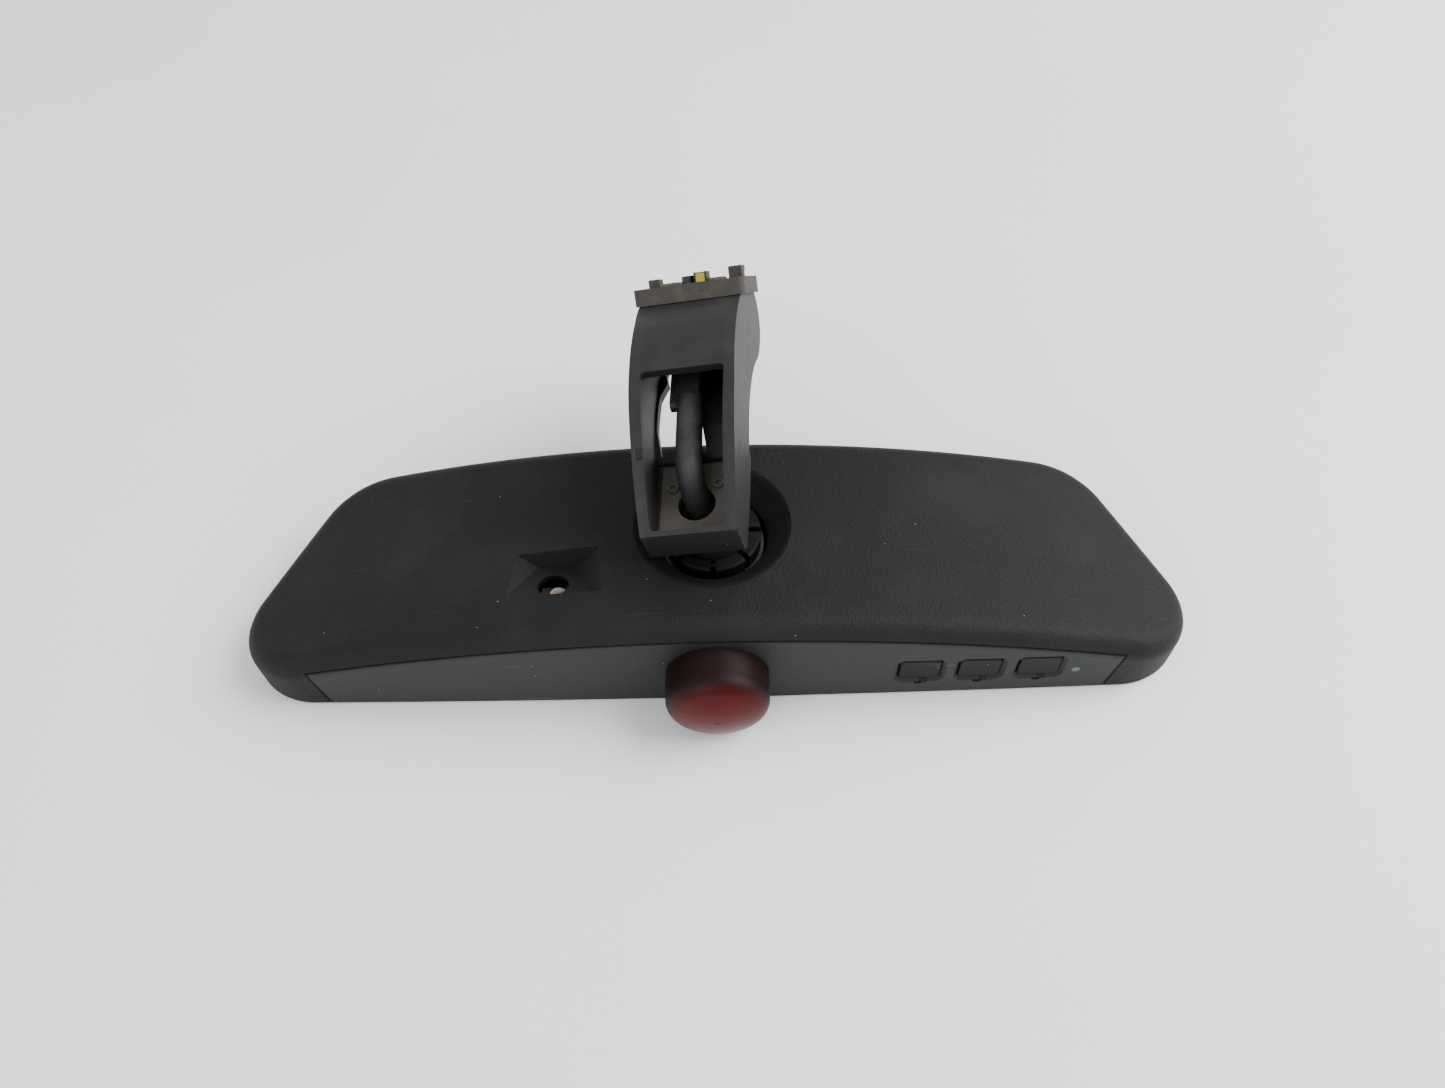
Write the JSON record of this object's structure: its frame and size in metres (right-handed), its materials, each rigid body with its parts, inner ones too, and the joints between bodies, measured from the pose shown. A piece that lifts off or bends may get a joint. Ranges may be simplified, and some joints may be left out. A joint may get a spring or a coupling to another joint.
{
  "type": "interior rearview mirror",
  "caption": "Long rounded interior rearview mirror with dimming glass, push buttons, a domed red receiver lens and a ball-jointed hollow stalk that carries its cable.",
  "frame": {"origin": "centre of the front rim's plane, on which the mirror lies", "axes": "+X along the mirror's length, +Y towards its top edge, +Z out of its back"},
  "size_m": [0.2536, 0.1258, 0.0679],
  "materials": {
    "housing_plastic": "fine grained black",
    "bezel_plastic": "smooth black",
    "panel_plastic": "fine grained dark grey",
    "button_plastic": "satin dark grey",
    "mirror_glass": "polished",
    "silvered_glass": "silvered",
    "seal_black": "matte",
    "contact_metal": "plated",
    "carrier_plastic": "moulded",
    "screw_steel": "zinc plated",
    "circuit_board": "green solder mask",
    "chip_black": "moulded",
    "capacitor_metal": "satin",
    "header_white": "natural nylon",
    "led_clear": "clear epoxy",
    "pipe_clear": "clear acrylic",
    "lens_red": "deep red smoky",
    "clip_steel": "spring steel",
    "sensor_cell": "pinkish ceramic with a zigzag track",
    "cup_plastic": "moulded black",
    "liner_plastic": "acetal",
    "ball_plastic": "smooth black",
    "stalk_plastic": "fine grained dark grey",
    "collar_plastic": "dusty dark brown",
    "foot_steel": "spring steel",
    "peg_black": "moulded black",
    "lock_yellow": "yellow",
    "cable_sheath": "smooth vinyl"
  },
  "bodies": {
    "head": {"ambient_sensor": "sensor_cell", "bezel": "bezel_plastic", "board_header": "header_white", "board_screws": "screw_steel", "bottom_panel": "panel_plastic", "capacitor_1": "capacitor_metal", "capacitor_2": "capacitor_metal", "carrier_plate": "carrier_plastic", "carrier_screw_1": "screw_steel", "carrier_screw_2": "screw_steel", "carrier_screw_3": "screw_steel", "carrier_screw_4": "screw_steel", "cell_seal": "seal_black", "contact_strip_bottom": "contact_metal", "contact_strip_top": "contact_metal", "front_glass": "mirror_glass", "glass_pad": "seal_black", "harness_plug": "header_white", "inductor": "chip_black", "inner_harness": "cable_sheath", "lens_clip": "clip_steel", "main_board": "circuit_board", "processor": "chip_black", "rear_glass": "silvered_glass", "rear_housing": "housing_plastic", "receiver_board": "circuit_board", "receiver_diode": "led_clear", "receiver_lens": "lens_red", "sensor_riser": "carrier_plastic", "socket_cup": "cup_plastic", "socket_plate": "clip_steel", "socket_screw_1": "screw_steel", "socket_screw_2": "screw_steel", "socket_screw_3": "screw_steel", "socket_screw_4": "screw_steel", "status_led": "led_clear", "status_light_pipe": "pipe_clear", "switch_1": "chip_black", "switch_2": "chip_black", "switch_3": "chip_black", "switch_board": "circuit_board"},
    "button_1": {"button_1": "button_plastic"},
    "button_2": {"button_2": "button_plastic"},
    "button_3": {"button_3": "button_plastic"},
    "spring_ring": {"snap_ring": "clip_steel"},
    "liner": {"ball_liner": "liner_plastic"},
    "stalk": {"ball": "ball_plastic", "stalk_frame": "stalk_plastic", "foot_collar": "collar_plastic", "foot_plate": "foot_steel", "claw_left": "collar_plastic", "claw_right": "collar_plastic", "foot_screw": "peg_black", "lock_frame": "peg_black", "connector_lock": "lock_yellow", "connector_body": "peg_black", "connector_lever": "peg_black", "connector_pins": "contact_metal", "cable": "cable_sheath"}
  },
  "joints": [
    {"name": "head_swivel", "type": "hinge", "parent": "head", "child": "spring_ring", "pos_m": [0, 0.001, 0.0225], "axis": [0, 0, 1], "range_deg": [-25, 25]},
    {"name": "head_tilt", "type": "hinge", "parent": "spring_ring", "child": "liner", "pos_m": [0, 0.001, 0.0225], "axis": [1, 0, 0], "range_deg": [-14, 5]},
    {"name": "head_lean", "type": "hinge", "parent": "liner", "child": "stalk", "pos_m": [0, 0.001, 0.0225], "axis": [0, 1, 0], "range_deg": [-4, 22]},
    {"name": "button_1_press", "type": "slide", "parent": "head", "child": "button_1", "axis": [0, 1, 0], "range_m": [0, 0.0008], "stiffness_N_per_m": 1500, "springref_m": -0.0004},
    {"name": "button_2_press", "type": "slide", "parent": "head", "child": "button_2", "axis": [0, 1, 0], "range_m": [0, 0.0008], "stiffness_N_per_m": 1500, "springref_m": -0.0004},
    {"name": "button_3_press", "type": "slide", "parent": "head", "child": "button_3", "axis": [0, 1, 0], "range_m": [0, 0.0008], "stiffness_N_per_m": 1500, "springref_m": -0.0004}
  ]
}
